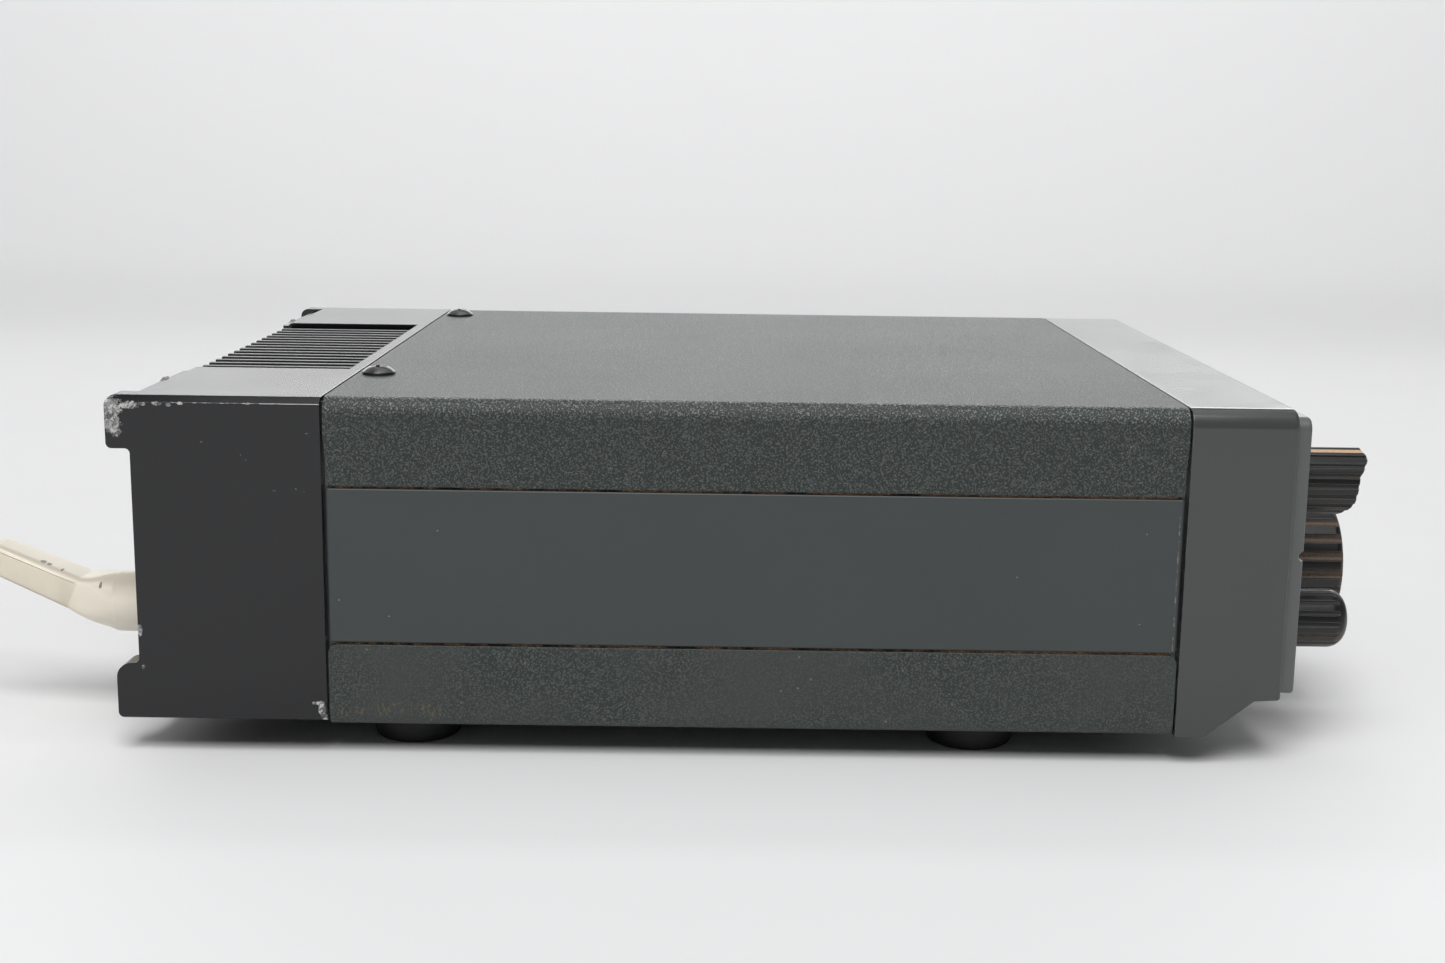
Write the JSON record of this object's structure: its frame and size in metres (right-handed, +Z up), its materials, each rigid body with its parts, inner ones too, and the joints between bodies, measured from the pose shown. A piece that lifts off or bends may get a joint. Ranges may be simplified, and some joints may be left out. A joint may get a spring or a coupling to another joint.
{
  "type": "mobile two-way radio",
  "caption": "Flat box radio with ribbed rear heat sink, side rails, front panel of knobs, display and push buttons, rubber feet and a coiled supply lead.",
  "frame": {"origin": "on the floor under the middle of the set, lead left out", "axes": "+X towards the front panel, +Z up, +Y towards the side with the microphone socket"},
  "size_m": [0.4482, 0.176, 0.0738],
  "materials": {
    "case_paint": "fine textured dark grey-green enamel, smooth on the rails",
    "sink_black": "black anodised casting with worn edges",
    "bezel_plastic": "satin dark grey moulding",
    "panel_plastic": "satin dark grey panel",
    "knob_plastic": "matt black moulding",
    "window_smoke": "clear smoked filter",
    "digit_red": "dark red display blocks",
    "board_green": "solder-masked laminate",
    "frame_metal": "bare die casting",
    "steel": "bright zinc plate",
    "screw_dark": "blackened steel",
    "foot_rubber": "matt black rubber",
    "cream_plastic": "cream moulding",
    "lead_black": "black sheath",
    "tie_dark": "black band",
    "nickel": "nickel plate",
    "insulator": "white insulator",
    "brass_contact": "bright brass",
    "black_plastic": "matt black moulding",
    "cone_paper": "dark paper",
    "ferrite": "dull ferrite"
  },
  "bodies": {
    "radio": {"top_cover": "case_paint", "bottom_cover": "case_paint", "left_side_rail": "case_paint", "right_side_rail": "case_paint", "chassis_frame": "frame_metal", "heat_sink": "sink_black", "left_rear_plate": "sink_black", "right_rear_plate": "sink_black", "front_bezel": "bezel_plastic", "front_panel": "panel_plastic", "display_window": "window_smoke", "display_digits": "digit_red", "display_board": "board_green", "sub_panel": "frame_metal", "main_board": "board_green", "rf_board": "board_green", "board_standoffs": "brass_contact", "board_screws": "steel", "case_screws": "steel", "cover_screws": "screw_dark", "rear_plate_screws": "screw_dark", "antenna_screws": "nickel", "foot_screws": "steel", "rubber_feet": "foot_rubber", "antenna_socket": "nickel", "antenna_insulator": "insulator", "antenna_contact": "brass_contact", "speaker_jack": "nickel", "dc_inlet": "black_plastic", "power_plug": "cream_plastic", "dc_lead": "lead_black", "dc_lead_coil": "lead_black", "coil_tie": "tie_dark", "lead_connector": "cream_plastic", "speaker_frame": "steel", "speaker_cone": "cone_paper", "speaker_magnet": "ferrite", "shield_cans": "steel", "power_module": "black_plastic", "mic_socket": "nickel", "mic_insert": "black_plastic", "mode_switch": "steel", "volume_pot": "steel", "squelch_pot": "steel", "tuning_encoder": "steel", "control_nuts": "nickel", "push_switches": "black_plastic"},
    "mode_control": {"mode_knob": "knob_plastic", "mode_shaft": "steel"},
    "volume_control": {"volume_knob": "knob_plastic", "volume_shaft": "steel"},
    "squelch_control": {"squelch_knob": "knob_plastic", "squelch_shaft": "steel"},
    "tuning_control": {"tuning_knob": "knob_plastic", "tuning_shaft": "steel"},
    "memory_key": {"memory_button": "knob_plastic"},
    "scan_key": {"scan_button": "knob_plastic"},
    "step_key": {"step_button": "knob_plastic"},
    "power_key": {"power_button": "knob_plastic"}
  },
  "joints": [
    {"name": "mode_turn", "type": "hinge", "parent": "radio", "child": "mode_control", "pos_m": [0.11315, -0.073, 0.0556], "axis": [1, 0, 0], "range_deg": [-77, 43]},
    {"name": "volume_turn", "type": "hinge", "parent": "radio", "child": "volume_control", "pos_m": [0.11315, -0.073, 0.0271], "axis": [1, 0, 0], "range_deg": [-150, 150]},
    {"name": "squelch_turn", "type": "hinge", "parent": "radio", "child": "squelch_control", "pos_m": [0.11315, 0.066, 0.0556], "axis": [1, 0, 0], "range_deg": [-150, 150]},
    {"name": "tuning_turn", "type": "hinge", "parent": "radio", "child": "tuning_control", "pos_m": [0.11315, -0.0393, 0.0314], "axis": [1, 0, 0], "continuous": true},
    {"name": "memory_press", "type": "slide", "parent": "radio", "child": "memory_key", "axis": [-1, 0, 0], "range_m": [0, 0.0018], "stiffness_N_per_m": 700},
    {"name": "scan_press", "type": "slide", "parent": "radio", "child": "scan_key", "axis": [-1, 0, 0], "range_m": [0, 0.0018], "stiffness_N_per_m": 700},
    {"name": "step_press", "type": "slide", "parent": "radio", "child": "step_key", "axis": [-1, 0, 0], "range_m": [0, 0.0018], "stiffness_N_per_m": 700},
    {"name": "power_press", "type": "slide", "parent": "radio", "child": "power_key", "axis": [-1, 0, 0], "range_m": [0, 0.0018], "stiffness_N_per_m": 700}
  ]
}
